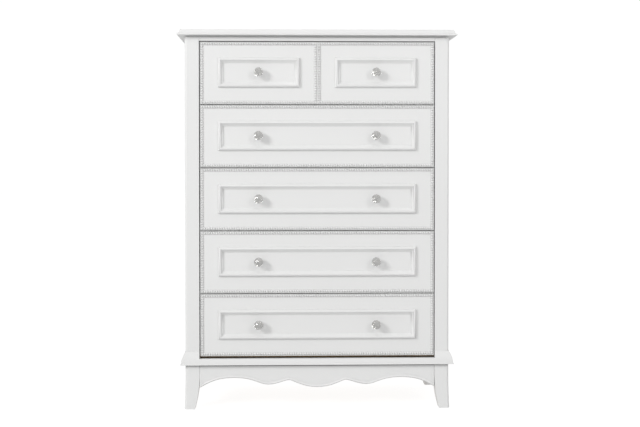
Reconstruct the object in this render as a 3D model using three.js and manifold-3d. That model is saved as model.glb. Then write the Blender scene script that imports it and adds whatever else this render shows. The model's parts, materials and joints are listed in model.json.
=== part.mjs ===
// Tall chest of drawers: a painted case on a scalloped base, with five drawers on wooden runner frames.
// Millimetres, +Z up. X runs across the front, the front faces -Y and the feet stand on Z = 0.
// The origin is under the middle of the chest, knobs included.

import * as THREE from 'three';
import { mergeVertices } from 'three/addons/utils/BufferGeometryUtils.js';
import Module from 'manifold-3d';

const wasm = await Module();
wasm.setup();

// ---------- driving dimensions ----------

// Case
const caseWidth = 884;            // across the outer faces of the posts
const caseDepth = 405;            // from the posts' faces to the back of the back panel
const postWidth = 47.5;           // posts and legs are square
const cornerRadius = 8;           // eased outer corner of posts and front legs
const sideThickness = 18;
const backThickness = 6;
const topRailHeight = 18;         // visible band between the top board and the upper drawer
const railThickness = 20;
const bottomThickness = 18;

// Top board
const topThickness = 19;
const topOverhang = 24;           // past the posts, at the front and the sides
const topBackOverhang = 8;
const topLipHeight = 5;           // square lip at the widest part of the moulded edge
const topCoveRise = 9;            // hollow above the lip
const topCoveInset = 8;
const topNoseInset = 5;           // rounding up to the top surface
const quarterSteps = [0.25, 0.5, 0.75, 1];   // points of the hollow and of the rounding

// Base
const legHeight = 149.5;
const legFootInset = 15;          // how far a leg's inner faces draw in at the floor
const legFootFlare = 3;           // how far its outer faces sweep out at the floor
const legTaperHeight = 110;
const legLevels = [0, 0.15, 0.3, 0.5, 0.75, 1];   // its sections, as shares of the taper
const legCornerFacets = 4;
const rearCornerRadius = 2;
const revealHeight = 5.5;         // shadow groove under the base moulding and under the top board
const revealDepth = 8;
const apronThickness = 18;
const apronSetback = 2;           // apron face behind the legs' faces
const sideArchDrop = 43;          // apron height left at the top of the side arch
const rearApronHeight = 60;

// Scalloped lower edge of the front apron. Points stand out from the centre and drop from the apron's
// top edge; handles are shares of the run to the next point, and a dip is a handle's extra drop.
const apronCentre = { drop: 71.5, handleOut: 0.48 };
const apronCusp = { out: 93, drop: 47.5, handleIn: 0.25, dip: 8, handleOut: 0.24 };
const apronLobe = { out: 165, drop: 62.5, handleIn: 0.42, dip: 0, handleOut: 0.27 };
const apronArch = { drop: 39.5, handleIn: 0.58, dip: 0, handleOut: 0.56 };
const apronEnd = { drop: 72.5, handleIn: 0.22, dip: -13 };
const scallopFacets = 7;          // straight pieces in each curve

// Base moulding
const baseMouldHeight = 43;
const baseMouldProjection = 15.5;
const baseMouldLip = 3.5;         // square lip along the bottom
const baseMouldTopEdge = 1.2;     // thickness left at the upper edge
const baseMouldStep = 2.2;        // from the lip in to the foot of the curve above it
const baseMouldBelly = 0.42;      // handles of that curve, as shares of its height and projection
const baseMouldWaist = 0.68;
const baseMouldWaistOut = 0.5;
const baseMouldFacets = 8;
const sillHeight = 21;            // moulding height left in front of the lowest drawer

// Drawers
const drawerCount = 5;
const frontHeight = 207;
const frontThickness = 20;
const frontSetback = 2;           // drawer faces behind the posts' faces
const frontGap = 3.5;             // round each front
const lowestGap = 8;              // under the lowest front
const boxWall = 12;
const boxInset = 3;               // box sides inside the ends of the front
const boxHeadroom = 14;           // box top below the frame above it
const boxRearSpace = 19;          // free space behind a closed drawer
const panelThickness = 6;         // drawer bottom
const panelRise = 10;             // drawer bottom above the lower edge of the box
const grooveDepth = 6;

// Runner frames
const frameThickness = 20;
const frameRailWidth = 50;
const frameRunnerWidth = 36;      // part of the side runners under the drawer
const guideHeight = 15;

// Trim on the drawer fronts
const beadTrimWidth = 11.5;
const beadTrimProud = 5.2;
const beadFilletWidth = 2;
const beadFilletProud = 1.6;
const beadRoundSteps = [0.2, 0.5, 0.8];   // points of the round, as shares of its half turn
const trimLap = 0.1;              // shared by the two trims of the upper drawer
const mouldingMargin = 54;        // from the top and bottom of a front to its picture moulding
const mouldingSideMargin = 60;    // and from its ends
const mouldingRise = 2;           // moulding and knobs stand this far above the middle of the front
// Section of the picture moulding as [in from its outside, how proud]: a round outer shoulder and a long
// inner slope.
const mouldingProfile = [
  [0, 1.2], [0.6, 5.2], [2, 8.6], [4.2, 11], [6.4, 12], [8, 11.8], [9, 10.8],
  [11.4, 7.4], [13.6, 4.8], [15.6, 2.8], [17.2, 1.6], [18.2, 1],
];
const splitMouldingGap = 118;     // between the two picture mouldings of the upper drawer

// Knobs
const knobSpacing = 392;
const knobRadius = 16;
const knobReach = 35;             // from the face of the drawer
const knobTableRadius = 8.5;
const knobNeckRadius = 6;
const knobRoseRadius = 11.5;
const knobRoseHeight = 4;
const knobNeckHeight = 9;
const knobGirdleHeight = 23;
const knobScrewRadius = 2;
const knobWasherRadius = 5;
const knobWasherHeight = 2.5;
const knobSides = 12;

// Clearances
const glueGap = 0.3;              // between pieces that meet
const slideGap = 0.5;             // between a drawer box and its runners
const guideGap = 1.5;             // between a drawer box and its side guides
const stopGap = 0.8;              // between a closed front and the frames behind it
const screwGap = 0.5;             // round a knob's screw
const cutMargin = 1;              // how far a cut reaches past the piece it is made in

// ---------- places worked out from them ----------

const caseHalf = caseWidth / 2;
const openingHalf = caseHalf - postWidth;
const innerHalf = caseHalf - sideThickness;
const frontHalf = openingHalf - frontGap;
const boxHalf = frontHalf - boxInset;

const frontmost = frontSetback - knobReach;
const faceY = -(frontmost + caseDepth + topBackOverhang) / 2;
const backY = faceY + caseDepth;
const backPanelY = backY - backThickness;
const drawerFaceY = faceY + frontSetback;
const drawerBackFaceY = drawerFaceY + frontThickness;
const frameFrontY = drawerBackFaceY + stopGap;
const postBackY = faceY + postWidth;
const boxFrontY = drawerBackFaceY + glueGap;
const boxBackY = backPanelY - boxRearSpace;

const apronTop = legHeight - revealHeight;
const lowestFrontZ = legHeight + sillHeight + lowestGap;
const drawerPitch = frontHeight + frontGap;
const openingTop = lowestFrontZ + drawerCount * drawerPitch;
const caseTop = openingTop + topRailHeight;
const topBoardTop = caseTop + topThickness;
const runnerRise = (frameThickness - frontGap) / 2;   // runner surface above the lower edge of a front

const mouldingHalfHeight = frontHeight / 2 - mouldingMargin;

// ---------- geometry helpers ----------

// Keeps only positions and joins equal vertices, so that a geometry is one closed, indexed surface.
function welded(geometry) {
  const copy = geometry.clone();
  copy.deleteAttribute('normal');
  copy.deleteAttribute('uv');
  return mergeVertices(copy, 1e-4);
}

function solid(geometry) {
  const closed = welded(geometry);
  return new wasm.Manifold(new wasm.Mesh({
    numProp: 3,
    vertProperties: new Float32Array(closed.attributes.position.array),
    triVerts: new Uint32Array(closed.index.array),
  }));
}

function fromSolid(body) {
  const mesh = body.getMesh();
  const geometry = new THREE.BufferGeometry();
  geometry.setAttribute('position', new THREE.BufferAttribute(new Float32Array(mesh.vertProperties), 3));
  geometry.setIndex(new THREE.BufferAttribute(new Uint32Array(mesh.triVerts), 1));
  return geometry;
}

// A box between two corners.
function block([x0, y0, z0], [x1, y1, z1]) {
  const geometry = new THREE.BoxGeometry(x1 - x0, y1 - y0, z1 - z0);
  return geometry.translate((x0 + x1) / 2, (y0 + y1) / 2, (z0 + z1) / 2);
}

function shapeOf(points) {
  return new THREE.Shape(points.map(([u, v]) => new THREE.Vector2(u, v)));
}

function rectangle(x0, y0, x1, y1) {
  return shapeOf([[x0, y0], [x1, y0], [x1, y1], [x0, y1]]);
}

// A shape drawn in (x, y), standing from z0 to z1.
function standing(shape, z0, z1) {
  const geometry = new THREE.ExtrudeGeometry(shape, { depth: z1 - z0, bevelEnabled: false });
  return geometry.translate(0, 0, z0);
}

// A shape drawn in (x, z), running from y0 to y1.
function runningBack(shape, y0, y1, curveSegments = 6) {
  const geometry = new THREE.ExtrudeGeometry(shape, { depth: y1 - y0, bevelEnabled: false, curveSegments });
  return geometry.rotateX(Math.PI / 2).translate(0, y1, 0);
}

// A shape drawn in (y, z), running from x0 to x1.
function runningAcross(shape, x0, x1, curveSegments = 6) {
  const geometry = new THREE.ExtrudeGeometry(shape, { depth: x1 - x0, bevelEnabled: false, curveSegments });
  const turn = new THREE.Matrix4().set(0, 0, 1, x0, 1, 0, 0, 0, 0, 1, 0, 0, 0, 0, 0, 1);
  return geometry.applyMatrix4(turn);
}

// Mirrors a closed geometry left to right.
function mirrored(geometry) {
  const copy = welded(geometry).scale(-1, 1, 1);
  const index = copy.index.array;
  for (let i = 0; i < index.length; i += 3) {
    [index[i + 1], index[i + 2]] = [index[i + 2], index[i + 1]];
  }
  return copy;
}

// Skins a row of rings that all have the same number of points. An open row gets flat ends, whose
// triangles come from the flat outline of the profile; a closed row joins its last ring to its first.
function skinned(rings, outline) {
  const count = rings[0].length;
  const positions = rings.flat().flatMap((point) => [point.x, point.y, point.z]);
  const index = [];
  const joins = outline ? rings.length - 1 : rings.length;
  for (let r = 0; r < joins; r++) {
    const here = r * count;
    const next = ((r + 1) % rings.length) * count;
    for (let i = 0; i < count; i++) {
      const j = (i + 1) % count;
      index.push(here + i, here + j, next + j, here + i, next + j, next + i);
    }
  }
  if (outline) {
    const last = (rings.length - 1) * count;
    for (const [a, b, c] of THREE.ShapeUtils.triangulateShape(outline, [])) {
      index.push(c, b, a, last + a, last + b, last + c);
    }
  }
  const geometry = new THREE.BufferGeometry();
  geometry.setAttribute('position', new THREE.Float32BufferAttribute(positions, 3));
  geometry.setIndex(index);
  return geometry;
}

// ---------- materials ----------

function material(color, roughness, metalness) {
  return new THREE.MeshStandardMaterial({ color, roughness, metalness, flatShading: true });
}

const paint = () => material('#efefec', 0.42, 0);
const bareWood = () => material('#d9bd92', 0.6, 0);
const plywood = () => material('#cfb186', 0.65, 0);
const crystal = () => material('#dfe3e6', 0.05, 0.1);

const group = new THREE.Group();

function add(name, geometry, finish, x = 0, y = 0, z = 0) {
  const mesh = new THREE.Mesh(welded(geometry), finish);
  mesh.name = name;
  mesh.position.set(x, y, z);
  group.add(mesh);
}

// ---------- top board ----------

// Each step is [height, how far the edge stands in from the widest lip].
function topEdgeSteps() {
  const lowerZ = caseTop + topLipHeight;
  const noseZ = lowerZ + topCoveRise;
  const padInset = topOverhang + revealDepth;
  const cove = quarterSteps.map((share) => {
    const turn = (share * Math.PI) / 2;
    return [lowerZ + topCoveRise * (1 - Math.cos(turn)), topCoveInset * Math.sin(turn)];
  });
  const nose = quarterSteps.map((share) => {
    const turn = (share * Math.PI) / 2;
    return [
      noseZ + (topBoardTop - noseZ) * Math.sin(turn),
      topCoveInset + topNoseInset * (1 - Math.cos(turn)),
    ];
  });
  return [
    [caseTop - revealHeight, padInset],
    [caseTop, padInset],
    [caseTop, 0],
    [lowerZ, 0],
    ...cove,
    ...nose,
  ];
}

function topBoard() {
  const rings = topEdgeSteps().map(([z, inset]) => {
    const half = caseHalf + topOverhang - inset;
    const front = faceY - topOverhang + inset;
    const back = backY + topBackOverhang;
    const padBack = z < caseTop || inset > topOverhang ? backY : back;
    return rectangle(-half, front, half, padBack).getPoints().map(
      (corner) => new THREE.Vector3(corner.x, corner.y, z),
    );
  });
  return skinned(rings, rectangle(0, 0, 1, 1).getPoints());
}

add('top_board', topBoard(), paint());

// ---------- case ----------

const caseBottom = legHeight + glueGap;
const underTop = caseTop - revealHeight - glueGap;

// Right front post, with its outer front corner eased.
function frontPost() {
  const shape = new THREE.Shape();
  shape.moveTo(openingHalf, faceY);
  shape.lineTo(caseHalf - cornerRadius, faceY);
  shape.absarc(caseHalf - cornerRadius, faceY + cornerRadius, cornerRadius, -Math.PI / 2, 0, false);
  shape.lineTo(caseHalf, postBackY);
  shape.lineTo(openingHalf, postBackY);
  const geometry = new THREE.ExtrudeGeometry(shape, {
    depth: underTop - caseBottom,
    bevelEnabled: false,
    curveSegments: 5,
  });
  return geometry.translate(0, 0, caseBottom);
}

// Right side panel. Its lower edge is rebated from outside, to leave the shadow groove over the base.
function sidePanel() {
  const outline = shapeOf([
    [innerHalf, apronTop + glueGap],
    [caseHalf - revealDepth, apronTop + glueGap],
    [caseHalf - revealDepth, legHeight],
    [caseHalf, legHeight],
    [caseHalf, underTop],
    [innerHalf, underTop],
  ]);
  const panel = solid(runningBack(outline, postBackY + glueGap, backY));
  // Clear of the rear leg's top, which stands in the groove's line.
  const legTop = block(
    [innerHalf - cutMargin, backY - postWidth - glueGap, apronTop - cutMargin],
    [caseHalf + cutMargin, backY + cutMargin, caseBottom],
  );
  return fromSolid(panel.subtract(solid(legTop)));
}

add('right_front_post', frontPost(), paint());
add('left_front_post', mirrored(frontPost()), paint());
add('right_side_panel', sidePanel(), paint());
add('left_side_panel', mirrored(sidePanel()), paint());

add('back_panel', block(
  [-innerHalf + glueGap, backPanelY, caseBottom],
  [innerHalf - glueGap, backY, underTop],
), plywood());

const railHalf = openingHalf - glueGap;

add('top_rail', block([-railHalf, faceY, openingTop], [railHalf, faceY + railThickness, underTop]), paint());

// Front sill under the lowest drawer, with a tongue that closes the shadow groove from behind.
function sillRail() {
  const sillBack = frameFrontY - glueGap;
  const outline = shapeOf([
    [faceY + revealDepth, apronTop + glueGap],
    [sillBack, apronTop + glueGap],
    [sillBack, legHeight + sillHeight],
    [faceY, legHeight + sillHeight],
    [faceY, legHeight],
    [faceY + revealDepth, legHeight],
  ]);
  return runningAcross(outline, -railHalf, railHalf);
}

add('front_sill_rail', sillRail(), paint());

// ---------- runner frames and bottom panel ----------

// Outline of what fills the case from behind the fronts to the back panel, narrower between the posts.
function floorOutline() {
  const wide = innerHalf - glueGap;
  const rear = backPanelY - glueGap;
  const step = postBackY + glueGap;
  return shapeOf([
    [-railHalf, frameFrontY],
    [railHalf, frameFrontY],
    [railHalf, step],
    [wide, step],
    [wide, rear],
    [-wide, rear],
    [-wide, step],
    [-railHalf, step],
  ]);
}

// Adds a guide strip along each side of a floor whose upper face is at z.
function withGuides(floor, z) {
  const inner = boxHalf + guideGap;
  const guide = block(
    [inner, postBackY + glueGap, z - cutMargin],
    [innerHalf - glueGap, backPanelY - glueGap, z + guideHeight],
  );
  return fromSolid(solid(floor).add(solid(guide)).add(solid(mirrored(guide))));
}

function runnerFrame(topZ) {
  const outline = floorOutline();
  const half = boxHalf - frameRunnerWidth;
  const front = frameFrontY + frameRailWidth;
  const rear = backPanelY - glueGap - frameRailWidth;
  outline.holes.push(rectangle(-half, front, half, rear));
  return withGuides(standing(outline, topZ - frameThickness, topZ), topZ);
}

// Drawer 1 is the upper one; its front's lower edge is the highest.
function frontBottom(drawer) {
  return lowestFrontZ + (drawerCount - drawer) * drawerPitch;
}

for (let drawer = 1; drawer < drawerCount; drawer++) {
  add(`runner_frame_${drawer}`, runnerFrame(frontBottom(drawer) + runnerRise), bareWood());
}

const bottomTop = lowestFrontZ + runnerRise;
const bottomPanel = standing(floorOutline(), bottomTop - bottomThickness, bottomTop);
add('bottom_panel', withGuides(bottomPanel, bottomTop), bareWood());

// ---------- base: legs and aprons ----------

// Right front leg as a stack of square sections that sweep out and draw in towards the floor, with a
// smaller block on top that stands in the shadow groove.
function leg(radius) {
  const sections = legLevels.map((share) => {
    const sweep = (1 - share) ** 2;
    return {
      z: share * legTaperHeight,
      outer: legFootFlare * sweep,
      inner: postWidth - legFootInset * sweep,
    };
  });
  sections.push({ z: apronTop, outer: 0, inner: postWidth });
  sections.push({ z: apronTop, outer: -revealDepth, inner: postWidth });
  sections.push({ z: legHeight, outer: -revealDepth, inner: postWidth });
  const ringOf = ({ z, outer, inner }) => {
    const edge = caseHalf + outer;
    const front = faceY - outer;
    const insideX = caseHalf - inner;
    const insideY = faceY + inner;
    const ring = [[insideX, insideY], [insideX, front]];
    for (let i = 0; i <= legCornerFacets; i++) {
      const turn = (i / legCornerFacets - 1) * (Math.PI / 2);
      ring.push([edge - radius + radius * Math.cos(turn), front + radius + radius * Math.sin(turn)]);
    }
    ring.push([edge, insideY]);
    return ring.map(([x, y]) => new THREE.Vector3(x, y, z));
  };
  const rings = sections.map(ringOf);
  const outline = rings[0].map((point) => new THREE.Vector2(point.x, point.y));
  return skinned(rings, outline);
}

// Turns a front leg into the rear leg of the other side.
function turnedToRear(geometry) {
  const middle = (faceY + backY) / 2;
  return geometry.translate(0, -middle, 0).rotateZ(Math.PI).translate(0, middle, 0);
}

add('front_right_leg', leg(cornerRadius), paint());
add('front_left_leg', mirrored(leg(cornerRadius)), paint());
add('rear_left_leg', turnedToRear(leg(rearCornerRadius)), paint());
add('rear_right_leg', mirrored(turnedToRear(leg(rearCornerRadius))), paint());

// Lower edge of the front apron, from the centre out to the leg.
function scallopEdge(end) {
  const arch = { ...apronArch, out: (apronLobe.out + end) / 2 };
  const points = [{ ...apronCentre, out: 0 }, apronCusp, apronLobe, arch, { ...apronEnd, out: end }];
  const edge = [new THREE.Vector2(0, apronTop - apronCentre.drop)];
  for (let i = 1; i < points.length; i++) {
    const from = points[i - 1];
    const to = points[i];
    const run = to.out - from.out;
    const curve = new THREE.CubicBezierCurve(
      new THREE.Vector2(from.out, apronTop - from.drop),
      new THREE.Vector2(from.out + run * from.handleOut, apronTop - from.drop),
      new THREE.Vector2(to.out - run * to.handleIn, apronTop - to.drop - to.dip),
      new THREE.Vector2(to.out, apronTop - to.drop),
    );
    edge.push(...curve.getPoints(scallopFacets).slice(1));
  }
  return edge;
}

function frontApron() {
  const end = openingHalf - glueGap;
  const half = scallopEdge(end);
  const otherHalf = half.slice(1).reverse().map((point) => new THREE.Vector2(-point.x, point.y));
  const outline = [
    new THREE.Vector2(-end, apronTop),
    ...otherHalf,
    ...half,
    new THREE.Vector2(end, apronTop),
  ];
  const front = faceY + apronSetback;
  return runningBack(new THREE.Shape(outline), front, front + apronThickness);
}

// Right side apron with one low arch, from the front leg to the rear leg.
function sideApron() {
  const front = postBackY + glueGap;
  const rear = backY - postWidth - glueGap;
  const middle = (front + rear) / 2;
  const archZ = apronTop - sideArchDrop;
  const endZ = apronTop - apronEnd.drop;
  const outline = new THREE.Shape();
  outline.moveTo(front, apronTop);
  outline.lineTo(front, endZ);
  outline.quadraticCurveTo((front * 3 + middle) / 4, archZ, middle, archZ);
  outline.quadraticCurveTo((rear * 3 + middle) / 4, archZ, rear, endZ);
  outline.lineTo(rear, apronTop);
  const outer = caseHalf - apronSetback;
  return runningAcross(outline, outer - apronThickness, outer, scallopFacets);
}

add('front_apron', frontApron(), paint());
add('right_apron', sideApron(), paint());
add('left_apron', mirrored(sideApron()), paint());
add('rear_apron', block(
  [-openingHalf + glueGap, backY - apronSetback - apronThickness, legHeight - rearApronHeight],
  [openingHalf - glueGap, backY - apronSetback, legHeight],
), paint());

// ---------- base moulding ----------

// Section of the moulding as [projection, height]: a square lip with a long round above it.
function baseMouldSection() {
  const foot = baseMouldProjection - baseMouldStep;
  const curve = new THREE.CubicBezierCurve(
    new THREE.Vector2(foot, baseMouldLip),
    new THREE.Vector2(foot, baseMouldHeight * baseMouldBelly),
    new THREE.Vector2(baseMouldProjection * baseMouldWaistOut, baseMouldHeight * baseMouldWaist),
    new THREE.Vector2(baseMouldTopEdge, baseMouldHeight),
  );
  return [
    [glueGap, 0],
    [baseMouldProjection, 0],
    [baseMouldProjection, baseMouldLip],
    ...curve.getPoints(baseMouldFacets).map((point) => [point.x, point.y]),
    [glueGap, baseMouldHeight],
  ];
}

// Front length, mitred at both ends and cut down between the posts to clear the lowest drawer.
function frontBaseMoulding() {
  const section = baseMouldSection();
  const ringAt = (side) => section.map(([out, up]) => new THREE.Vector3(
    side * (caseHalf + out - glueGap),
    faceY - out,
    legHeight + up,
  ));
  const outline = section.map(([out, up]) => new THREE.Vector2(out, up));
  const length = skinned([ringAt(1), ringAt(-1)], outline);
  const sillTop = legHeight + sillHeight;
  const notch = block(
    [-openingHalf, faceY - baseMouldProjection - cutMargin, sillTop],
    [openingHalf, faceY + cutMargin, legHeight + baseMouldHeight + cutMargin],
  );
  return fromSolid(solid(length).subtract(solid(notch)));
}

// Right length, mitred at the front and square at the back.
function sideBaseMoulding() {
  const section = baseMouldSection();
  const ringAt = (y, mitre) => section.map(([out, up]) => new THREE.Vector3(
    caseHalf + out,
    y - out * mitre,
    legHeight + up,
  ));
  const outline = section.map(([out, up]) => new THREE.Vector2(out, up));
  return skinned([ringAt(backY, 0), ringAt(faceY + glueGap, 1)], outline);
}

add('front_base_moulding', frontBaseMoulding(), paint());
add('right_base_moulding', sideBaseMoulding(), paint());
add('left_base_moulding', mirrored(sideBaseMoulding()), paint());

// ---------- drawers ----------

// A mitred frame on the face of a drawer. The section is [distance in from the outer edge, how proud].
function mitredFrame(section, x0, x1, z0, z1) {
  const corners = [[x0, z0, 1, 1], [x0, z1, 1, -1], [x1, z1, -1, -1], [x1, z0, -1, 1]];
  const rings = corners.map(([x, z, inX, inZ]) => section.map(([inward, proud]) => new THREE.Vector3(
    x + inX * inward,
    drawerFaceY - proud,
    z + inZ * inward,
  )));
  return skinned(rings, null);
}

// Strip that carries the row of beads: a narrow fillet, the round of the beads and an inner fillet.
function beadTrimSection() {
  const roundEnd = beadTrimWidth - beadFilletWidth;
  const section = [[0, glueGap], [0, beadFilletProud], [beadFilletWidth, beadFilletProud]];
  const middle = (beadFilletWidth + roundEnd) / 2;
  const reach = (roundEnd - beadFilletWidth) / 2;
  for (const turn of beadRoundSteps.map((share) => share * Math.PI)) {
    section.push([
      middle - reach * Math.cos(turn),
      beadFilletProud + (beadTrimProud - beadFilletProud) * Math.sin(turn),
    ]);
  }
  section.push([roundEnd, beadFilletProud], [beadTrimWidth, beadFilletProud], [beadTrimWidth, glueGap]);
  return section;
}

// Picture moulding, closed behind against the face of the drawer.
function pictureSection() {
  const width = mouldingProfile[mouldingProfile.length - 1][0];
  return [[0, glueGap], ...mouldingProfile, [width, glueGap]];
}

// Knob with its rose and its screw, turned about Y: the face of the drawer is at y = 0.
function knob() {
  const screwEnd = frontThickness + glueGap + boxWall + glueGap;
  const profile = [
    [0, -knobReach],
    [knobTableRadius, -knobReach],
    [knobRadius, -knobGirdleHeight],
    [knobNeckRadius, -knobNeckHeight],
    [knobNeckRadius, -knobRoseHeight],
    [knobRoseRadius, -knobRoseHeight],
    [knobRoseRadius, -glueGap],
    [knobScrewRadius, -glueGap],
    [knobScrewRadius, screwEnd],
    [knobWasherRadius, screwEnd],
    [knobWasherRadius, screwEnd + knobWasherHeight],
    [0, screwEnd + knobWasherHeight],
  ].map(([radius, y]) => new THREE.Vector2(radius, y));
  return new THREE.LatheGeometry(profile, knobSides);
}

// Hole for a knob's screw, from in front of the drawer's face to inside its box.
function screwHole(x, z) {
  const length = frontThickness + glueGap + boxWall + 2 * cutMargin;
  const geometry = new THREE.CylinderGeometry(
    knobScrewRadius + screwGap,
    knobScrewRadius + screwGap,
    length,
    knobSides,
  );
  return solid(geometry.translate(x, drawerFaceY - cutMargin + length / 2, z));
}

function drawerFront(z0, knobPlaces) {
  let board = solid(block([-frontHalf, drawerFaceY, z0], [frontHalf, drawerBackFaceY, z0 + frontHeight]));
  for (const [x, z] of knobPlaces) {
    board = board.subtract(screwHole(x, z));
  }
  return fromSolid(board);
}

// Four walls with a groove round the inside for the bottom.
function drawerBox(z0, z1, knobPlaces) {
  const inHalf = boxHalf - boxWall;
  const inFront = boxFrontY + boxWall;
  const inBack = boxBackY - boxWall;
  const outline = rectangle(-boxHalf, boxFrontY, boxHalf, boxBackY);
  outline.holes.push(rectangle(-inHalf, inFront, inHalf, inBack));
  const groove = block(
    [-inHalf - grooveDepth, inFront - grooveDepth, z0 + panelRise - glueGap],
    [inHalf + grooveDepth, inBack + grooveDepth, z0 + panelRise + panelThickness + glueGap],
  );
  let walls = solid(standing(outline, z0, z1)).subtract(solid(groove));
  for (const [x, z] of knobPlaces) {
    walls = walls.subtract(screwHole(x, z));
  }
  return fromSolid(walls);
}

function drawerBottom(z0) {
  const reach = grooveDepth - glueGap - boxWall;
  return block(
    [-boxHalf - reach, boxFrontY - reach, z0 + panelRise],
    [boxHalf + reach, boxBackY + reach, z0 + panelRise + panelThickness],
  );
}

for (let drawer = 1; drawer <= drawerCount; drawer++) {
  const frontZ = frontBottom(drawer);
  const frontTop = frontZ + frontHeight;
  const middleZ = frontZ + frontHeight / 2 + mouldingRise;
  const boxZ = frontZ + runnerRise + slideGap;
  const boxTop = frontTop - runnerRise - boxHeadroom;
  const knobPlaces = [[-knobSpacing / 2, middleZ], [knobSpacing / 2, middleZ]];
  const name = `drawer_${drawer}`;

  add(`${name}_front`, drawerFront(frontZ, knobPlaces), paint());
  add(`${name}_box`, drawerBox(boxZ, boxTop, knobPlaces), bareWood());
  add(`${name}_bottom`, drawerBottom(boxZ), plywood());
  add(`${name}_left_knob`, knob(), crystal(), -knobSpacing / 2, drawerFaceY, middleZ);
  add(`${name}_right_knob`, knob(), crystal(), knobSpacing / 2, drawerFaceY, middleZ);

  const lowZ = middleZ - mouldingHalfHeight;
  const highZ = middleZ + mouldingHalfHeight;
  const outside = frontHalf - mouldingSideMargin;
  if (drawer === 1) {
    // The upper front is one board dressed as two: its trim is two rings that share the middle.
    const left = mitredFrame(beadTrimSection(), -frontHalf, trimLap, frontZ, frontTop);
    const right = mitredFrame(beadTrimSection(), -trimLap, frontHalf, frontZ, frontTop);
    add(`${name}_bead_trim`, fromSolid(solid(left).add(solid(right))), paint());
    const inside = splitMouldingGap / 2;
    add(`${name}_left_moulding`, mitredFrame(pictureSection(), -outside, -inside, lowZ, highZ), paint());
    add(`${name}_right_moulding`, mitredFrame(pictureSection(), inside, outside, lowZ, highZ), paint());
  } else {
    const trim = mitredFrame(beadTrimSection(), -frontHalf, frontHalf, frontZ, frontTop);
    add(`${name}_bead_trim`, trim, paint());
    add(`${name}_moulding`, mitredFrame(pictureSection(), -outside, outside, lowZ, highZ), paint());
  }
}

export default group;
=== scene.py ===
# Tall white chest of drawers: five drawers, beaded edges, picture mouldings, crystal knobs.
import json
import math

import bpy
from mathutils import Matrix, Vector


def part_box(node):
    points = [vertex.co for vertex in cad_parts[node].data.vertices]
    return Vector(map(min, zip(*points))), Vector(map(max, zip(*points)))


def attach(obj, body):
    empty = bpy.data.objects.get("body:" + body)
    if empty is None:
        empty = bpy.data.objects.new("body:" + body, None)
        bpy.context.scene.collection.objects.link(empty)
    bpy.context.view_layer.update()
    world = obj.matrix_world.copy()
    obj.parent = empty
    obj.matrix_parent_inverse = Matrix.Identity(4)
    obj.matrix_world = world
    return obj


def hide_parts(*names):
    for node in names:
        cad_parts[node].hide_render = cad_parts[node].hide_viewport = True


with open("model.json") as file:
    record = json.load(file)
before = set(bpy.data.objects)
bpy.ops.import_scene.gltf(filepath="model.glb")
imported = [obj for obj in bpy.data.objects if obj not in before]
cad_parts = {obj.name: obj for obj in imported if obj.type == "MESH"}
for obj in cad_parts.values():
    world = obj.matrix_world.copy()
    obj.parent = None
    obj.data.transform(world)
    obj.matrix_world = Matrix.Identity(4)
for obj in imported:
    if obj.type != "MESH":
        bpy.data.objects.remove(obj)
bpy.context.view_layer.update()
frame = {"nodes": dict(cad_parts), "record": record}
print("frame loaded:", len(frame["nodes"]), "nodes")

nodes = frame["nodes"]
slotOf = {part["node"]: part["material_slot"] for part in frame["record"]["subparts"]}
bodies = frame["record"]["behaviour"]["bodies"]
bodyOf = {node: body for body, members in bodies.items() for node in members}
drawerCount = sum(1 for name in nodes if name.endswith("_box"))
drawerNames = [f"drawer_{number}" for number in range(1, drawerCount + 1)]


# camera

cameraPlan = {
    "side": -0.12,        # left of the middle
    "height": 0.849,
    "distance": 3.7,      # from the drawer fronts
    "turn": 1.545,        # degrees towards the right
    "tilt": 1.076,        # degrees down
    "roll": -0.023,
    "lens": 62.28,        # mm
    "sensorWidth": 36,
    "shiftX": 0.0136,
    "shiftY": -0.058,
    "seesTo": 60,         # metres
}


def placeCamera(plan):
    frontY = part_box("left_front_post")[0].y
    bpy.ops.object.camera_add(location=(plan["side"], frontY - plan["distance"], plan["height"]))
    camera = bpy.context.object
    camera.name = "camera"
    turn = Matrix.Rotation(math.radians(-plan["turn"]), 4, "Z")
    tilt = Matrix.Rotation(math.radians(90 - plan["tilt"]), 4, "X")
    roll = Matrix.Rotation(math.radians(plan["roll"]), 4, "Z")
    camera.rotation_euler = (turn @ tilt @ roll).to_euler()
    camera.data.lens = plan["lens"]
    camera.data.sensor_width = plan["sensorWidth"]
    camera.data.shift_x = plan["shiftX"]
    camera.data.shift_y = plan["shiftY"]
    camera.data.clip_end = plan["seesTo"]
    bpy.context.scene.camera = camera


placeCamera(cameraPlan)
bpy.context.scene.view_settings.view_transform = "Standard"
print("camera placed")


# shader maths

class Wire:
    def __init__(self, recipe, socket):
        self.recipe = recipe
        self.socket = socket

    def maths(self, operation, first, second):
        return self.recipe.node("Math", {"operation": operation}, {0: first, 1: second})

    def __add__(self, other):
        return self.maths("ADD", self, other)

    def __radd__(self, other):
        return self.maths("ADD", other, self)

    def __sub__(self, other):
        return self.maths("SUBTRACT", self, other)

    def __rsub__(self, other):
        return self.maths("SUBTRACT", other, self)

    def __mul__(self, other):
        return self.maths("MULTIPLY", self, other)

    def __rmul__(self, other):
        return self.maths("MULTIPLY", other, self)


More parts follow.
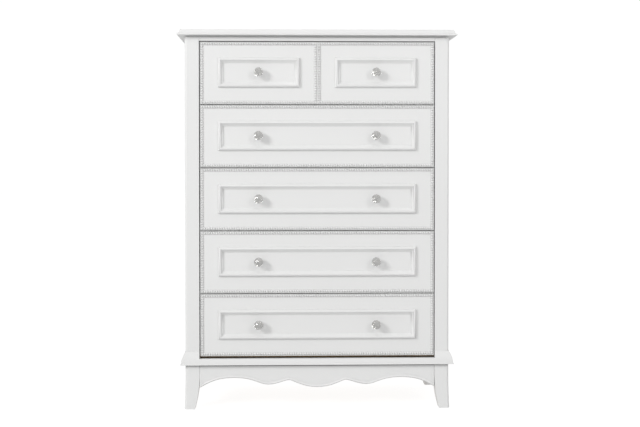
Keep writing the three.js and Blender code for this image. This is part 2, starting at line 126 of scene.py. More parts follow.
class Recipe:
    def __init__(self, holder, shaderName, fixed):
        self.holder = holder
        holder.use_nodes = True
        self.tree = holder.node_tree
        self.shader = self.tree.nodes[shaderName]
        for socket, value in fixed.items():
            self.shader.inputs[socket].default_value = value

    def node(self, kind, settings, inputs, output=0):
        made = self.tree.nodes.new("ShaderNode" + kind)
        for key, value in settings.items():
            if key == "stops":
                self.setStops(made.color_ramp, value)
            else:
                setattr(made, key, value)
        for key, value in inputs.items():
            self.feed(made.inputs[key], value)
        return Wire(self, made.outputs[output])

    def setStops(self, ramp, stops):
        while len(ramp.elements) < len(stops):
            ramp.elements.new(0.5)
        for element, (place, color) in zip(ramp.elements, stops):
            element.position = place
            element.color = color

    def feed(self, socket, value):
        if isinstance(value, Wire):
            self.tree.links.new(value.socket, socket)
        else:
            socket.default_value = value

    def paint(self, **inputs):
        for name, value in inputs.items():
            self.feed(self.shader.inputs[name.replace("_", " ")], value)

    def objectPlace(self, scale=(1, 1, 1)):
        place = self.node("TexCoord", {}, {}, "Object")
        return self.node("Mapping", {}, {"Vector": place, "Scale": scale})

    def noise(self, place, scale, detail=3.0, roughness=0.5, distortion=0.0):
        settings = {"noise_dimensions": "3D"}
        inputs = {"Vector": place, "Scale": scale, "Detail": detail, "Roughness": roughness,
                  "Distortion": distortion}
        return self.node("TexNoise", settings, inputs, "Fac")

    def mixColor(self, factor, first, second):
        return self.node("Mix", {"data_type": "RGBA"}, {0: factor, 6: first, 7: second}, 2)

    def bump(self, height, strength, distance):
        inputs = {"Height": height, "Strength": strength, "Distance": distance}
        return self.node("Bump", {}, inputs, "Normal")

    def ramp(self, factor, stops):
        return self.node("ValToRGB", {"stops": stops}, {"Fac": factor})

    def depthInto(self):
        # metres from front to back
        place = self.node("TexCoord", {}, {}, "Object")
        return self.node("SeparateXYZ", {}, {0: place}, "Y")

    def between(self, value, low, high):
        return self.node("MapRange", {}, {"Value": value, "From Min": low, "From Max": high})


def newFinish(name, fixed):
    return Recipe(bpy.data.materials.new(name), "Principled BSDF", fixed)


# white satin paint: slow tone changes, fine brush lines along the grain, slight orange peel; a darker copy
# paints shade in the bead groove, and a near-black part paints shade inside the sill's gap

paintPlan = {
    "light": (0.835, 0.836, 0.833, 1),
    "shade": (0.800, 0.801, 0.794, 1),
    "cloudScale": 2.3,
    "brushScale": 260.0,
    "coarseScale": 60.0,
    "peelScale": 420.0,
    "toneShares": (0.7, 0.18, 0.12),       # of clouds, fine and coarse brush lines
    "bumpShares": (0.6, 0.6, 0.25),        # of fine and coarse brush lines and orange peel
    "brushBump": 0.16,
    "brushDepth": 0.00025,
    "roughness": 0.36,
    "roughnessSpread": 0.14,
    "roughnessMiddle": 0.3,
    "ior": 1.48,
    "grooveShadeDim": 0.90,                     # painted shade: darker tone of the groove that the beads stand in, for the shade between the beads
    # painted shade: near-black colour on the sill's top behind its face, darkening the gap under the
    # lowest drawer
    "undercoat": (0.045, 0.042, 0.040, 1),
    "undercoatFade": 0.001,
    "sillPaintDepth": 0.003,               # white paint on the sill, behind its face
    "framePaintDepth": 0.018,              # and on the front edges of the runner frames
}
grainStretch = {
    "across": (0.06, 1, 1),
    "upright": (1, 1, 0.06),
    "deep": (1, 0.06, 1),
}


def dimmed(color, dim):
    return tuple(dim * value for value in color[:3]) + (1,)


def whitePaint(name, grain, dim=1.0, undercoatFrom=None):
    # dim darkens the whole paint; the bead groove uses it as painted shade. The last argument is the place
    # behind a piece's face where the white paint stops and a near-black colour begins, painted shade
    # inside the gap
    plan = paintPlan
    recipe = newFinish(name, {"IOR": plan["ior"]})
    even = recipe.objectPlace()
    along = recipe.objectPlace(grainStretch[grain])
    clouds = recipe.noise(even, plan["cloudScale"], detail=2.0)
    brush = recipe.noise(along, plan["brushScale"], detail=4.0, roughness=0.6)
    coarse = recipe.noise(along, plan["coarseScale"], detail=2.0)
    peel = recipe.noise(even, plan["peelScale"], detail=1.0)
    cloudShare, brushShare, coarseShare = plan["toneShares"]
    tone = clouds * cloudShare + brush * brushShare + coarse * coarseShare
    color = recipe.mixColor(tone, dimmed(plan["shade"], dim), dimmed(plan["light"], dim))
    # painted shade: behind that place the colour turns near black, as the shade inside the gap
    if undercoatFrom is not None:
        under = recipe.between(recipe.depthInto(), undercoatFrom, undercoatFrom + plan["undercoatFade"])
        color = recipe.mixColor(under, color, plan["undercoat"])
    brushShare, coarseShare, peelShare = plan["bumpShares"]
    relief = brush * brushShare + coarse * coarseShare + peel * peelShare
    spread = brush * 0.5 + clouds * 0.5 - plan["roughnessMiddle"]
    recipe.paint(
        Base_Color=color,
        Roughness=plan["roughness"] + plan["roughnessSpread"] * spread,
        Normal=recipe.bump(relief, plan["brushBump"], plan["brushDepth"]),
    )
    return recipe.holder


# clear-sealed light wood of boxes and runner frames

woodPlan = {
    "late": (0.40, 0.24, 0.115, 1),
    "early": (0.64, 0.44, 0.25, 1),
    "pale": (0.72, 0.53, 0.33, 1),
    "colorStops": (0.30, 0.52, 0.78),
    "ringScale": 36.0,
    "ringWaver": 1.2,
    "ringShare": 0.75,
    "driftScale": 6.0,
    "driftWaver": 0.6,
    "driftShare": 0.25,
    "poreScale": 420.0,
    "poreStops": (0.34, 0.46),
    "poreStrength": 0.35,
    "roughness": 0.48,
    "roughnessSpread": 0.2,
    "poreRelief": 0.7,
    "ringRelief": 0.4,
    "bump": 0.25,
    "bumpDepth": 0.0003,
    "ior": 1.5,
    "paintEdgeScale": 35.0,      # uneven edge of the paint on the runner frames
    "paintEdgeReach": 0.012,
    "paintEdgeFade": 0.002,
}


def bareWood(grain, paintedTo=None):
    # paintedTo is how far back the paint of a frame's front edge reaches
    plan = woodPlan
    recipe = newFinish("bareWood_" + grain, {"IOR": plan["ior"]})
    along = recipe.objectPlace(grainStretch[grain])
    drift = recipe.noise(along, plan["driftScale"], detail=2.0, distortion=plan["driftWaver"])
    rings = recipe.noise(
        along, plan["ringScale"], detail=4.0, roughness=0.55, distortion=plan["ringWaver"],
    )
    pores = recipe.noise(along, plan["poreScale"], detail=2.0, roughness=0.6)
    stops = list(zip(plan["colorStops"], (plan["late"], plan["early"], plan["pale"])))
    streaks = recipe.ramp(rings * plan["ringShare"] + drift * plan["driftShare"], stops)
    poreTone = recipe.ramp(pores, list(zip(plan["poreStops"], ((1, 1, 1, 1), (0, 0, 0, 1)))))
    color = recipe.mixColor(poreTone * plan["poreStrength"], streaks, plan["late"])
    if paintedTo is not None:
        recipe.holder.name += "_painted"
        wobble = recipe.noise(recipe.objectPlace(), plan["paintEdgeScale"])
        edge = recipe.depthInto() - (wobble - 0.5) * plan["paintEdgeReach"]
        bare = recipe.between(edge, paintedTo, paintedTo + plan["paintEdgeFade"])
        color = recipe.mixColor(bare, paintPlan["light"], color)
    relief = pores * plan["poreRelief"] + rings * plan["ringRelief"]
    recipe.paint(
        Base_Color=color,
        Roughness=plan["roughness"] + plan["roughnessSpread"] * (rings - 0.5),
        Normal=recipe.bump(relief, plan["bump"], plan["bumpDepth"]),
    )
    return recipe.holder


# thin plywood of drawer bottoms and the back

plywoodPlan = {
    "colors": [(0.36, (0.47, 0.30, 0.15, 1)), (0.5, (0.62, 0.43, 0.24, 1)), (0.66, (0.70, 0.51, 0.31, 1))],
    "stretch": (0.10, 1, 1),
    "figureScale": 11.0,
    "figureWaver": 2.2,
    "figureShare": 0.75,
    "fibreScale": 300.0,
    "fibreShare": 0.25,
    "roughness": 0.55,
    "roughnessSpread": 0.15,
    "bump": 0.2,
    "bumpDepth": 0.0003,
    "ior": 1.5,
}


def plywoodSheet():
    plan = plywoodPlan
    recipe = newFinish("plywoodSheet", {"IOR": plan["ior"]})
    along = recipe.objectPlace(plan["stretch"])
    figure = recipe.noise(along, plan["figureScale"], detail=5.0, distortion=plan["figureWaver"])
    fibre = recipe.noise(along, plan["fibreScale"], detail=2.0, roughness=0.6)
    recipe.paint(
        Base_Color=recipe.ramp(figure * plan["figureShare"] + fibre * plan["fibreShare"], plan["colors"]),
        Roughness=plan["roughness"] + plan["roughnessSpread"] * (fibre - 0.5),
        Normal=recipe.bump(fibre, plan["bump"], plan["bumpDepth"]),
    )
    return recipe.holder


# cut crystal, and the plated metal behind it

crystalPlan = {
    "color": (0.975, 0.975, 0.97, 1),
    "ior": 1.54,
    "smearScale": 90.0,
    "roughness": 0.015,
    "roughnessSpread": 0.04,
}
platedPlan = {
    "dull": (0.76, 0.755, 0.745, 1),
    "bright": (0.88, 0.875, 0.865, 1),
    "hazeScale": 160.0,
    "roughness": 0.16,
    "roughnessSpread": 0.16,
    "grainScale": 900.0,
    "bump": 0.05,
    "bumpDepth": 0.0001,
}


def crystalGlass():
    plan = crystalPlan
    fixed = {"Base Color": plan["color"], "IOR": plan["ior"], "Transmission Weight": 1.0}
    recipe = newFinish("crystalGlass", fixed)
    smear = recipe.noise(recipe.objectPlace(), plan["smearScale"])
    recipe.paint(Roughness=plan["roughness"] + plan["roughnessSpread"] * smear)
    return recipe.holder


def platedMetal():
    plan = platedPlan
    recipe = newFinish("platedMetal", {"Metallic": 1.0})
    place = recipe.objectPlace()
    haze = recipe.noise(place, plan["hazeScale"])
    grain = recipe.noise(place, plan["grainScale"], detail=1.0)
    recipe.paint(
        Base_Color=recipe.mixColor(haze, plan["dull"], plan["bright"]),
        Roughness=plan["roughness"] + plan["roughnessSpread"] * haze,
        Normal=recipe.bump(grain, plan["bump"], plan["bumpDepth"]),
    )
    return recipe.holder


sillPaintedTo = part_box("front_sill_rail")[0].y + paintPlan["sillPaintDepth"]
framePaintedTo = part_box("runner_frame_1")[0].y + paintPlan["framePaintDepth"]
finish = {
    "paintAcross": whitePaint("paintAcross", "across"),
    "paintUpright": whitePaint("paintUpright", "upright"),
    "paintDeep": whitePaint("paintDeep", "deep"),
    # a darker copy of the paint: painted shade in the groove between the beads
    "paintGroove": whitePaint("paintGroove", "across", paintPlan["grooveShadeDim"]),
    # the sill's top is white at its face and near black behind it: painted shade in the gap under the
    # lowest drawer
    "paintSill": whitePaint("paintSill", "across", 1.0, sillPaintedTo),
    "woodAcross": bareWood("across"),
    "woodDeep": bareWood("deep"),
    "woodPainted": bareWood("across", framePaintedTo),
    "plywood": plywoodSheet(),
    "crystal": crystalGlass(),
    "plated": platedMetal(),
}
print("materials made:", len(finish))


# modelling helpers

meshPlan = {
    "mergeCad": 0.00002,      # metres between points that are made one
    "mergeMade": 0.00001,
    "flatWithin": 0.5,        # degrees
    "facing": 0.9,            # a face's normal along an axis, from which it counts as facing it
}


def deselectAll():
    if bpy.context.object and bpy.context.object.mode != "OBJECT":
        bpy.ops.object.mode_set(mode="OBJECT")
    bpy.ops.object.select_all(action="DESELECT")


def activate(piece):
    deselectAll()
    piece.select_set(True)
    bpy.context.view_layer.objects.active = piece


def settle(piece):
    activate(piece)
    bpy.ops.object.transform_apply(location=True, rotation=True, scale=True)


def applyModifier(piece, kind, **settings):
    activate(piece)
    modifier = piece.modifiers.new(kind.lower(), kind)
    for key, value in settings.items():
        setattr(modifier, key, value)
    bpy.ops.object.modifier_apply(modifier=modifier.name)


def smoothFaces(piece, degrees):
    activate(piece)
    bpy.ops.object.shade_smooth_by_angle(angle=math.radians(degrees))
    applyModifier(piece, "WEIGHTED_NORMAL", keep_sharp=True)


def useFinish(piece, name):
    piece.data.materials.clear()
    piece.data.materials.append(finish[name])


def copyOf(piece, name):
    # a free copy with its own mesh
    double = piece.copy()
    double.data = piece.data.copy()
    double.name = name
    double.data.name = name
    double.parent = None
    for key in list(double.keys()):
        del double[key]
    bpy.context.scene.collection.objects.link(double)
    return double


def joined(pieces, name):
    deselectAll()
    for piece in pieces:
        piece.select_set(True)
    bpy.context.view_layer.objects.active = pieces[0]
    bpy.ops.object.join()
    pieces[0].name = name
    pieces[0].data.name = name
    return pieces[0]


def moveMesh(piece, offset):
    piece.data.transform(Matrix.Translation(Vector(offset)))


def clearPick(kind):
    bpy.ops.object.mode_set(mode="EDIT")
    bpy.ops.mesh.select_mode(type=kind)
    bpy.ops.mesh.select_all(action="DESELECT")
    bpy.ops.object.mode_set(mode="OBJECT")


def pickFaces(piece, test):
    # ends in edit mode with only the faces that pass the test selected
    clearPick("FACE")
    for face in piece.data.polygons:
        face.select = test(face)
    bpy.ops.object.mode_set(mode="EDIT")


def pickVertices(piece, test):
    clearPick("VERT")
    for vertex in piece.data.vertices:
        vertex.select = test(vertex.co)
    bpy.ops.object.mode_set(mode="EDIT")


def editAll():
    bpy.ops.object.mode_set(mode="EDIT")
    bpy.ops.mesh.select_all(action="SELECT")


def workingCopy(node):
    # a merged copy of a CAD node, its flat faces whole again
    piece = copyOf(nodes[node], node + "_made")
    activate(piece)
    editAll()
    bpy.ops.mesh.remove_doubles(threshold=meshPlan["mergeCad"])
    bpy.ops.mesh.dissolve_limited(angle_limit=math.radians(meshPlan["flatWithin"]))
    bpy.ops.object.mode_set(mode="OBJECT")
    return piece


def handOver(piece, node, finishName=None):
    if finishName:
        useFinish(piece, finishName)
    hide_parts(node)
    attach(piece, bodyOf[node])


# painted case pieces: edges rubbed round, mouldings smoothed

edgePlan = {
    "width": 0.0009,
    "baseWidth": 0.0018,       # of the front base moulding
    "segments": 2,
    "bevelFrom": 50,           # degrees
    "smoothUpTo": 34,
    "smoothMouldings": 40,
}
paintedPieces = {
    "top_board": "paintAcross",
    "top_rail": "paintAcross",
    "left_front_post": "paintUpright",
    "right_front_post": "paintUpright",
    "left_side_panel": "paintUpright",
    "right_side_panel": "paintUpright",
    # the sill's finish holds painted shade in the gap behind its face
    "front_sill_rail": "paintSill",
    "front_base_moulding": "paintAcross",
    "left_base_moulding": "paintDeep",
    "right_base_moulding": "paintDeep",
    "left_apron": "paintDeep",
    "right_apron": "paintDeep",
    "rear_apron": "paintAcross",
    "front_left_leg": "paintUpright",
    "front_right_leg": "paintUpright",
    "rear_left_leg": "paintUpright",
    "rear_right_leg": "paintUpright",
}


def roundEdges(piece, width):
    applyModifier(
        piece, "BEVEL", width=width, segments=edgePlan["segments"], limit_method="ANGLE",
        angle_limit=math.radians(edgePlan["bevelFrom"]), use_clamp_overlap=True,
    )
    editAll()
    bpy.ops.mesh.remove_doubles(threshold=meshPlan["mergeMade"])
    bpy.ops.object.mode_set(mode="OBJECT")
    smoothFaces(piece, edgePlan["smoothUpTo"])


for node, finishName in paintedPieces.items():
    piece = workingCopy(node)
    roundEdges(piece, edgePlan["baseWidth"] if node == "front_base_moulding" else edgePlan["width"])
    handOver(piece, node, finishName)
print("case painted")


# front apron with its raised lip along the scallops

lipPlan = {
    "lipWidth": 0.0034,
    "slopeWidth": 0.0075,
    "lipForward": 0.0010,
    "slopeForward": 0.0066,
    "clearOfTop": 0.02,        # the top edge has no lip
    "smallestFace": 0.002,     # square metres
    "tolerance": 0.0002,
}


def pointKey(point):
    return tuple(round(value, 5) for value in point)


def apronWithLip():
    plan = lipPlan
    piece = workingCopy("front_apron")
    low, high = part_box("front_apron")

    def onFace(face):
        atFront = abs(face.center.y - low.y) < plan["tolerance"]
        return face.normal.y < -meshPlan["facing"] and atFront and face.area > plan["smallestFace"]

    def alongEdge(point):
        return point.z < high.z - plan["clearOfTop"]

    outline = {pointKey(vertex.co) for vertex in piece.data.vertices
               if abs(vertex.co.y - low.y) < plan["tolerance"] and alongEdge(vertex.co)}
    pickFaces(piece, onFace)
    bpy.ops.mesh.inset(thickness=plan["lipWidth"], depth=0)
    bpy.ops.object.mode_set(mode="OBJECT")
    secondRing = {pointKey(piece.data.vertices[index].co)
                  for face in piece.data.polygons if face.select for index in face.vertices}
    bpy.ops.object.mode_set(mode="EDIT")
    bpy.ops.mesh.inset(thickness=plan["slopeWidth"], depth=0)
    for ring, forward in ((outline, plan["lipForward"]), (secondRing, plan["slopeForward"])):
        pickVertices(piece, lambda point: pointKey(point) in ring and alongEdge(point))
        bpy.ops.transform.translate(value=(0, -forward, 0))
    bpy.ops.object.mode_set(mode="OBJECT")
    smoothFaces(piece, edgePlan["smoothUpTo"])
    return piece


handOver(apronWithLip(), "front_apron", "paintAcross")
print("apron made")


# drawer fronts and their picture mouldings

for name in drawerNames:
    front = workingCopy(name + "_front")
    roundEdges(front, edgePlan["width"])
    handOver(front, name + "_front", "paintAcross")
for node in sorted(nodes):
    if node.startswith("drawer_") and node.endswith("_moulding"):
        moulding = workingCopy(node)
        smoothFaces(moulding, edgePlan["smoothMouldings"])
        handOver(moulding, node, "paintAcross")
print("fronts and mouldings made")


# bead trim: a flat strip with a raised outer fillet, its groove painted darker as painted shade, and a row
# of half-round beads

beadPlan = {
    "pitch": 0.008,
    "radius": 0.0036,
    "rise": 0.0052,
    "sunk": 0.0001,            # into the strip
    "segments": 12,
    "rings": 8,
    "stripWidth": 0.0115,
    "stripThickness": 0.0006,
    "filletWidth": 0.0016,
    "filletRise": 0.0022,
    "edgeWidth": 0.0004,
    "edgeFrom": 50,            # degrees
    "rowInset": 0.0061,        # outer edge of the strip to the middle of the beads
    "seam": 0.0001,            # half the gap between the two rings of drawer 1
    "tolerance": 0.0002,
}


def oneBead(x, y, z):
    plan = beadPlan
    bpy.ops.mesh.primitive_uv_sphere_add(
        segments=plan["segments"], ring_count=plan["rings"], radius=plan["radius"],
        location=(0, 0, 0), rotation=(math.pi / 2, 0, 0),
    )
    bead = bpy.context.object
    settle(bead)
    editAll()
    bpy.ops.mesh.bisect(
        plane_co=(0, plan["sunk"], 0), plane_no=(0, 1, 0), clear_outer=True, use_fill=True,
    )
    bpy.ops.object.mode_set(mode="OBJECT")
    bead.scale = (1, plan["rise"] / plan["radius"], 1)
    bead.location = (x, y, z)
    settle(bead)
    bpy.ops.object.shade_smooth()
    useFinish(bead, "paintAcross")
    return bead


def beadRow(start, step, count):
    row = oneBead(*start)
    applyModifier(
        row, "ARRAY", count=count, use_relative_offset=False, use_constant_offset=True,
        constant_offset_displace=step,
    )
    return row


def beadStrip(left, right, bottom, top, y):
    plan = beadPlan
    middle = Vector(((left + right) / 2, y, (bottom + top) / 2))
    reach = Vector(((right - left) / 2, 0, (top - bottom) / 2))
    bpy.ops.mesh.primitive_plane_add(size=1, location=middle, rotation=(math.pi / 2, 0, 0))
    strip = bpy.context.object
    strip.scale = (right - left, top - bottom, 1)
    settle(strip)
    editAll()
    bpy.ops.mesh.inset(thickness=plan["filletWidth"], depth=0)
    bpy.ops.mesh.inset(thickness=plan["stripWidth"] - plan["filletWidth"], depth=0)
    bpy.ops.mesh.delete(type="FACE")
    bpy.ops.mesh.select_all(action="SELECT")
    bpy.ops.mesh.extrude_region_move(TRANSFORM_OT_translate={"value": (0, -plan["stripThickness"], 0)})
    bpy.ops.object.mode_set(mode="OBJECT")

    def onFillet(face):
        fromEdge = min(reach.x - abs(face.center.x - middle.x), reach.z - abs(face.center.z - middle.z))
        atFront = face.center.y < y - plan["stripThickness"] + plan["tolerance"]
        facing = abs(face.normal.y) > meshPlan["facing"]
        return facing and atFront and fromEdge < plan["filletWidth"]

    pickFaces(strip, onFillet)
    bpy.ops.mesh.extrude_region_move(TRANSFORM_OT_translate={"value": (0, -plan["filletRise"], 0)})
    bpy.ops.mesh.select_all(action="SELECT")
    bpy.ops.mesh.normals_make_consistent(inside=False)
    bpy.ops.object.mode_set(mode="OBJECT")
    applyModifier(
        strip, "BEVEL", width=plan["edgeWidth"], segments=2, limit_method="ANGLE",
        angle_limit=math.radians(plan["edgeFrom"]),
    )
    useFinish(strip, "paintAcross")
    # the groove faces take the darker paint, painted shade between the beads
    strip.data.materials.append(finish["paintGroove"])
    for face in strip.data.polygons:
        if face.center.y > y - plan["stripThickness"] - plan["tolerance"]:
            face.material_index = 1
    return strip


def beadRing(left, right, bottom, top, faceY):
    plan = beadPlan
    rowY = faceY - plan["stripThickness"]
    firstX, lastX = left + plan["rowInset"], right - plan["rowInset"]
    firstZ, lastZ = bottom + plan["rowInset"], top - plan["rowInset"]
    across = round((lastX - firstX) / plan["pitch"])
    upright = round((lastZ - firstZ) / plan["pitch"])
    stepX = (lastX - firstX) / across
    stepZ = (lastZ - firstZ) / upright
    pieces = [beadStrip(left, right, bottom, top, faceY)]
    for z in (firstZ, lastZ):
        pieces.append(beadRow((firstX, rowY, z), (stepX, 0, 0), across + 1))
    for x in (firstX, lastX):
        pieces.append(beadRow((x, rowY, firstZ + stepZ), (0, 0, stepZ), upright - 1))
    return joined(pieces, "beads")


def beadTrims():
    # the top front is divided in two; the three lowest are copies of the second
    seam = beadPlan["seam"]
    for name in drawerNames:
        node = name + "_bead_trim"
        low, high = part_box(node)
        if name == "drawer_1":
            middle = (low.x + high.x) / 2
            halves = [beadRing(low.x, middle - seam, low.z, high.z, high.y),
                      beadRing(middle + seam, high.x, low.z, high.z, high.y)]
            trim = joined(halves, name + "_beads")
        elif name == "drawer_2":
            trim = beadRing(low.x, high.x, low.z, high.z, high.y)
            trim.name = name + "_beads"
            pattern = trim
            patternZ = low.z
        else:
            trim = copyOf(pattern, name + "_beads")
            moveMesh(trim, (0, 0, low.z - patternZ))
        handOver(trim, node)


beadTrims()
print("beads set")


# knobs: a cut crystal head in a plated cup on a stepped rose, with its screw inside the drawer

knobPlan = {
    "facets": 10,
    "back": 0.0150,         # heights above the drawer's face
    "girdle": 0.0230,
    "crown": 0.0285,
    "shoulder": 0.0327,
    "backRadius": 0.0118,
    "headRadius": 0.0157,
    "crownRadius": 0.0144,
    "shoulderRadius": 0.0108,
    "tableRadius": 0.0056,
    "girdleThickness": 0.0012,
    "crownFrom": 0.2,       # slopes of the facets that are cut again
    "crownUpTo": 0.8,
    "pointRise": 0.0006,    # of those small facets
    "turn": 6,              # degrees round the knob's axis
    "spokes": 10,
    "spokeRise": 0.0016,
    "spokeTolerance": 0.1,  # of a spoke's pitch
    "foilShare": 0.98,      # of the crystal's back
    "foilBehind": 0.0022,
    "foilThickness": 0.0004,
    "smoothUpTo": 38,       # degrees
    "roseSteps": 32,
    "screwSteps": 16,
}
screwPlan = {
    "shaft": 0.002,         # radius
    "washer": 0.005,        # radius
    "headThickness": 0.0025,
    "rimHeight": 0.0008,
    "rimShare": 0.84,
}
roseProfile = [
    (0, 0), (0.0120, 0), (0.0120, 0.0014), (0.0108, 0.0028), (0.0082, 0.0034), (0.0070, 0.0050),
    (0.0074, 0.0078), (0.0100, 0.0108), (0.0132, 0.0128), (0.0139, 0.0146), (0.0136, 0.0166),
    (0.0129, 0.0170), (0.0124, 0.0160), (0.0121, 0.0132), (0, 0.0122),
]


def grow(distance, scale):
    # extrudes the selected ring away from the drawer and resizes it
    bpy.ops.mesh.extrude_region_move(TRANSFORM_OT_translate={"value": (0, -distance, 0)})
    bpy.ops.transform.resize(value=(scale, 1, scale), center_override=(0, 0, 0))


def disc(name, sides, radius, height, fill):
    bpy.ops.mesh.primitive_circle_add(
        vertices=sides, radius=radius, fill_type=fill, location=(0, -height, 0),
        rotation=(math.pi / 2, 0, 0),
    )
    made = bpy.context.object
    made.name = name
    settle(made)
    return made


def closeUp(piece):
    activate(piece)
    editAll()
    bpy.ops.mesh.remove_doubles(threshold=meshPlan["mergeMade"])
    bpy.ops.mesh.normals_make_consistent(inside=False)
    bpy.ops.object.mode_set(mode="OBJECT")


def crystalHead():
    plan = knobPlan
    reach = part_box("drawer_2_front")[0].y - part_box("drawer_2_left_knob")[0].y
    head = disc("crystal", plan["facets"], plan["backRadius"], plan["back"], "NGON")
    editAll()
    half = plan["girdleThickness"] / 2
    rings = [(plan["girdle"] - half, plan["headRadius"]), (plan["girdle"] + half, plan["headRadius"]),
             (plan["crown"], plan["crownRadius"]), (plan["shoulder"], plan["shoulderRadius"]),
             (reach, plan["tableRadius"])]
    height, radius = plan["back"], plan["backRadius"]
    for newHeight, newRadius in rings:
        grow(newHeight - height, newRadius / radius)
        height, radius = newHeight, newRadius
    closeUp(head)

    def isCrown(face):
        # neither the table nor the girdle
        return plan["crownFrom"] < -face.normal.y < plan["crownUpTo"]

    pickFaces(head, isCrown)
    bpy.ops.mesh.poke(offset=plan["pointRise"])
    bpy.ops.object.mode_set(mode="OBJECT")
    head.data.transform(Matrix.Rotation(math.radians(plan["turn"]), 4, "Y"))
    return head


def spokedFoil():
    # folded metal star behind the crystal
    plan = knobPlan
    radius = plan["backRadius"] * plan["foilShare"]
    foil = disc("foil", 2 * plan["spokes"], radius, plan["back"] - plan["foilBehind"], "TRIFAN")

    def onRidge(point):
        turn = math.atan2(point.z, point.x) * plan["spokes"] / math.tau
        onSpoke = abs(turn - round(turn)) < plan["spokeTolerance"]
        return onSpoke and math.hypot(point.x, point.z) > radius / 2

    pickVertices(foil, onRidge)
    bpy.ops.transform.translate(value=(0, -plan["spokeRise"], 0))
    bpy.ops.object.mode_set(mode="OBJECT")
    applyModifier(foil, "SOLIDIFY", thickness=plan["foilThickness"], offset=0)
    closeUp(foil)
    return foil


def spunMetal(name, profile, steps):
    # a profile of (radius, height), drawn from one point and spun round the knob's axis
    bpy.ops.mesh.primitive_plane_add(size=profile[1][0], location=(0, 0, 0))
    metal = bpy.context.object
    editAll()
    bpy.ops.mesh.merge(type="CENTER")
    radius, height = profile[0]
    bpy.ops.transform.translate(value=(radius, -height, 0))
    for newRadius, newHeight in profile[1:]:
        bpy.ops.mesh.extrude_region_move(
            TRANSFORM_OT_translate={"value": (newRadius - radius, height - newHeight, 0)},
        )
        radius, height = newRadius, newHeight
    bpy.ops.mesh.select_all(action="SELECT")
    bpy.ops.mesh.spin(steps=steps, angle=math.tau, center=(0, 0, 0), axis=(0, 1, 0))
    bpy.ops.object.mode_set(mode="OBJECT")
    metal.name = name
    closeUp(metal)
    smoothFaces(metal, knobPlan["smoothUpTo"])
    return metal


def screwProfile(length):
    plan = screwPlan
    seat = plan["headThickness"] - length
    rim = plan["rimHeight"] - length
    return [(0, 0), (plan["shaft"], 0), (plan["shaft"], seat), (plan["washer"], seat),
            (plan["washer"], rim), (plan["washer"] * plan["rimShare"], -length), (0, -length)]


def makeKnobs():
    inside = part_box("drawer_2_left_knob")[1].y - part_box("drawer_2_front")[0].y
    patterns = {
        "crystal": (crystalHead(), "crystal", "crystal"),
        "foil": (spokedFoil(), "chrome", "plated"),
        "rose": (spunMetal("rose", roseProfile, knobPlan["roseSteps"]), "chrome", "plated"),
        "screw": (spunMetal("screw", screwProfile(inside), knobPlan["screwSteps"]), "chrome", "plated"),
    }
    for node in sorted(nodes):
        if not node.endswith("_knob"):
            continue
        low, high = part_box(node)
        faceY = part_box(node.rsplit("_", 2)[0] + "_front")[0].y
        place = ((low.x + high.x) / 2, faceY, (low.z + high.z) / 2)
        for name, (pattern, slot, finishName) in patterns.items():
            piece = copyOf(pattern, f"{node}_{name}")
            moveMesh(piece, place)
            useFinish(piece, finishName)
            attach(piece, bodyOf[node])
            if name == "crystal":
                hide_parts(node)
    for entry in patterns.values():
        bpy.data.objects.remove(entry[0])


makeKnobs()
print("knobs set")


# bare wood and plywood pieces keep their CAD shape

for node, piece in nodes.items():
    if node.endswith("_box"):
        useFinish(piece, "woodDeep")
    elif node == "bottom_panel":
        useFinish(piece, "woodAcross")
    elif node.startswith("runner_frame"):
        useFinish(piece, "woodPainted")
    elif slotOf[node] == "plywood":
        useFinish(piece, "plywood")
print("wood finished")


# floor, light and surroundings

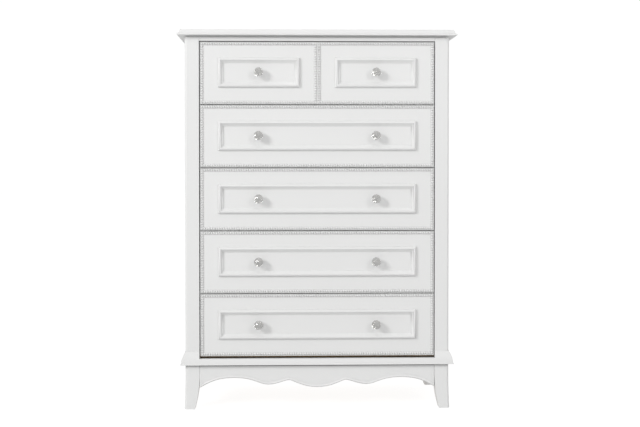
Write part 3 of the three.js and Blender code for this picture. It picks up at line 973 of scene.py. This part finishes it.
studioPlan = {
    "floorSize": 40.0,
    "floorDark": (0.20, 0.20, 0.20, 1),
    "floorLight": (0.24, 0.24, 0.24, 1),
    "floorClouds": 1.5,
    "floorRoughness": 0.8,
    "floorRoughnessSpread": 0.1,
    "floorGlow": (0.45, 0.45, 0.45, 1),
    "floorShown": (0.90, 0.90, 0.90, 1),
    "backdropShown": 1.02,
    "front": 0.475,         # strength of the surroundings in front of the chest
    "behind": 0.72,         # and behind it
    "frontUpTo": -0.5,      # directions between which the one turns into the other
    "behindFrom": 0.35,
    "aim": (0, 0, 0.65),
}
lamps = {                   # place, size across, power
    "keyLight": ((-5.2, -5.0, 3.6), 2.2, 246.0),
    "fillLight": ((2.1, -3.4, 2.1), 0.8, 21.0),
    "overheadLight": ((0, -2.3, 3.3), 2.4, 9.0),
}


def makeFloor():
    # the floor shows white, and sends less light up than it shows
    plan = studioPlan
    bpy.ops.mesh.primitive_plane_add(size=plan["floorSize"], location=(0, 0, 0))
    floor = bpy.context.object
    floor.name = "floor"
    recipe = newFinish("paleFloor", {"IOR": 1.3, "Specular IOR Level": 0.2, "Emission Strength": 1.0})
    clouds = recipe.noise(recipe.objectPlace(), plan["floorClouds"], detail=2.0)
    seen = recipe.node("LightPath", {}, {}, "Is Camera Ray")
    recipe.paint(
        Base_Color=recipe.mixColor(clouds, plan["floorDark"], plan["floorLight"]),
        Roughness=plan["floorRoughness"] + plan["floorRoughnessSpread"] * clouds,
        Emission_Color=recipe.mixColor(seen, plan["floorGlow"], plan["floorShown"]),
    )
    floor.data.materials.append(recipe.holder)


def softLight(name, place, size, power):
    bpy.ops.object.light_add(type="AREA", location=place)
    light = bpy.context.object
    light.name = name
    light.data.shape = "DISK"
    light.data.size = size
    light.data.energy = power
    ray = Vector(studioPlan["aim"]) - Vector(place)
    light.rotation_euler = ray.to_track_quat("-Z", "Y").to_euler()


def makeWorld():
    # white behind the chest, dimmer in front, so that the lamps shape the mouldings
    plan = studioPlan
    world = bpy.data.worlds.new("studio")
    bpy.context.scene.world = world
    recipe = Recipe(world, "Background", {"Color": (1, 1, 1, 1)})
    direction = recipe.node("TexCoord", {}, {}, "Generated")
    depth = recipe.node("SeparateXYZ", {}, {0: direction}, "Y")
    dome = recipe.node("MapRange", {"interpolation_type": "SMOOTHSTEP"}, {
        "Value": depth, "From Min": plan["frontUpTo"], "From Max": plan["behindFrom"],
        "To Min": plan["front"], "To Max": plan["behind"],
    })
    seen = recipe.node("LightPath", {}, {}, "Is Camera Ray")
    recipe.paint(Strength=dome + seen * (plan["backdropShown"] - dome))


makeFloor()
makeWorld()
for name, (place, size, power) in lamps.items():
    softLight(name, place, size, power)
print("studio lit")
